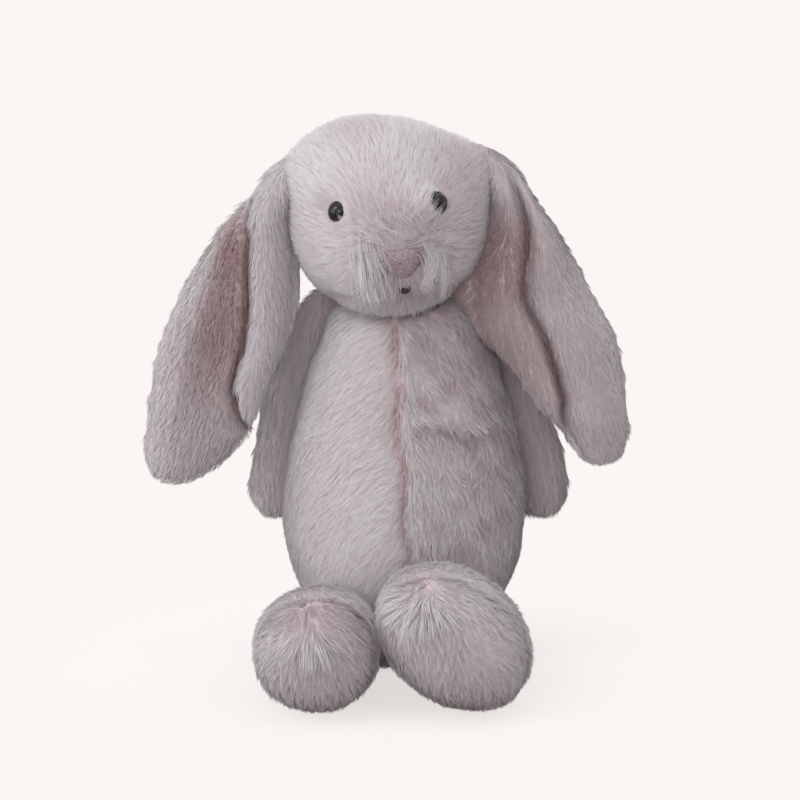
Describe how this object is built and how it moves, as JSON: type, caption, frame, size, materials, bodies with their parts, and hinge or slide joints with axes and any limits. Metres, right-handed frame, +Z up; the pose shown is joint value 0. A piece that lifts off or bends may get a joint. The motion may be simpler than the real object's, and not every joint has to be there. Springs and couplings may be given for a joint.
{
  "type": "stuffed bunny rabbit",
  "caption": "Seated plush rabbit with long lop ears, round head, dark domed eyes, suede nose pad, soft jointed arms, legs and tail, and a pellet-weighted seat.",
  "frame": {"origin": "centre of the flat seat on the ground", "axes": "+Z up, -Y the way the rabbit faces, +X the rabbit's left side"},
  "size_m": [0.2142, 0.188, 0.247],
  "materials": {
    "plush": "soft long pile",
    "stuffing_fibre": "loose fibre",
    "pouch_cloth": "woven",
    "pellet": "loose pellets",
    "eye_black": "polished",
    "washer_plastic": "moulded",
    "nose_suede": "short suede nap",
    "mouth_thread": "embroidery thread",
    "seam_thread": "sewing thread",
    "label_tape": "woven satin tape"
  },
  "bodies": {
    "body": {"body_front_left_panel": "plush", "body_front_right_panel": "plush", "body_back_left_panel": "plush", "body_back_right_panel": "plush", "body_stuffing": "stuffing_fibre", "pellet_pouch": "pouch_cloth", "seat_pellets": "pellet", "care_label": "label_tape"},
    "neck": {"neck_stuffing": "stuffing_fibre"},
    "neck_seam": {"neck_seam_thread": "seam_thread"},
    "head": {"head_left_panel": "plush", "head_right_panel": "plush", "chin_panel": "plush", "head_back_panel": "plush", "head_stuffing": "stuffing_fibre", "left_eye": "eye_black", "right_eye": "eye_black", "left_eye_washer": "washer_plastic", "right_eye_washer": "washer_plastic", "nose_pad": "nose_suede", "mouth_stitch": "mouth_thread"},
    "tail": {"tail_cloth": "plush", "tail_stuffing": "stuffing_fibre"},
    "left_ear": {"left_ear_inner_ply": "plush", "left_ear_outer_ply": "plush"},
    "left_shoulder": {"left_shoulder_stitching": "seam_thread"},
    "left_arm": {"left_arm_cloth": "plush", "left_arm_stuffing": "stuffing_fibre"},
    "left_leg": {"left_leg_cloth": "plush", "left_sole": "plush", "left_leg_stuffing": "stuffing_fibre"},
    "right_ear": {"right_ear_inner_ply": "plush", "right_ear_outer_ply": "plush"},
    "right_shoulder": {"right_shoulder_stitching": "seam_thread"},
    "right_arm": {"right_arm_cloth": "plush", "right_arm_stuffing": "stuffing_fibre"},
    "right_leg": {"right_leg_cloth": "plush", "right_sole": "plush", "right_leg_stuffing": "stuffing_fibre"}
  },
  "joints": [
    {"name": "head_turn", "type": "hinge", "parent": "body", "child": "neck", "pos_m": [0, -0.004, 0.163], "axis": [0, 0, 1], "range_deg": [-10, 10], "stiffness_Nm_per_rad": 0.15},
    {"name": "head_tilt", "type": "hinge", "parent": "neck", "child": "neck_seam", "pos_m": [0, -0.004, 0.163], "axis": [0, 1, 0], "range_deg": [-8, 8], "stiffness_Nm_per_rad": 0.15},
    {"name": "head_nod", "type": "hinge", "parent": "neck_seam", "child": "head", "pos_m": [0, -0.004, 0.163], "axis": [1, 0, 0], "range_deg": [-10, 12], "stiffness_Nm_per_rad": 0.15},
    {"name": "right_ear_lift", "type": "hinge", "parent": "head", "child": "right_ear", "pos_m": [-0.05, -0.014, 0.229], "axis": [0, 1, 0], "range_deg": [0, 100]},
    {"name": "left_ear_lift", "type": "hinge", "parent": "head", "child": "left_ear", "pos_m": [0.041, -0.014, 0.23], "axis": [0, -1, 0], "range_deg": [0, 100]},
    {"name": "tail_wag", "type": "hinge", "parent": "body", "child": "tail", "pos_m": [0, 0.042, 0.04], "axis": [0, 0, 1], "range_deg": [-20, 20], "stiffness_Nm_per_rad": 0.02},
    {"name": "left_arm_swing", "type": "hinge", "parent": "body", "child": "left_shoulder", "pos_m": [0.046, 0.016, 0.153], "axis": [1, 0, 0], "range_deg": [-5, 35]},
    {"name": "left_arm_lift", "type": "hinge", "parent": "left_shoulder", "child": "left_arm", "pos_m": [0.046, 0.016, 0.153], "axis": [0, -1, 0], "range_deg": [0, 80]},
    {"name": "right_arm_swing", "type": "hinge", "parent": "body", "child": "right_shoulder", "pos_m": [-0.046, 0.016, 0.153], "axis": [1, 0, 0], "range_deg": [-5, 35]},
    {"name": "right_arm_lift", "type": "hinge", "parent": "right_shoulder", "child": "right_arm", "pos_m": [-0.046, 0.016, 0.153], "axis": [0, 1, 0], "range_deg": [0, 80]},
    {"name": "left_leg_bend", "type": "hinge", "parent": "body", "child": "left_leg", "pos_m": [0.027, -0.041, 0.024], "axis": [1, 0, 0], "range_deg": [-35, 60]},
    {"name": "right_leg_bend", "type": "hinge", "parent": "body", "child": "right_leg", "pos_m": [-0.031, -0.041, 0.024], "axis": [1, 0, 0], "range_deg": [-35, 60]}
  ]
}
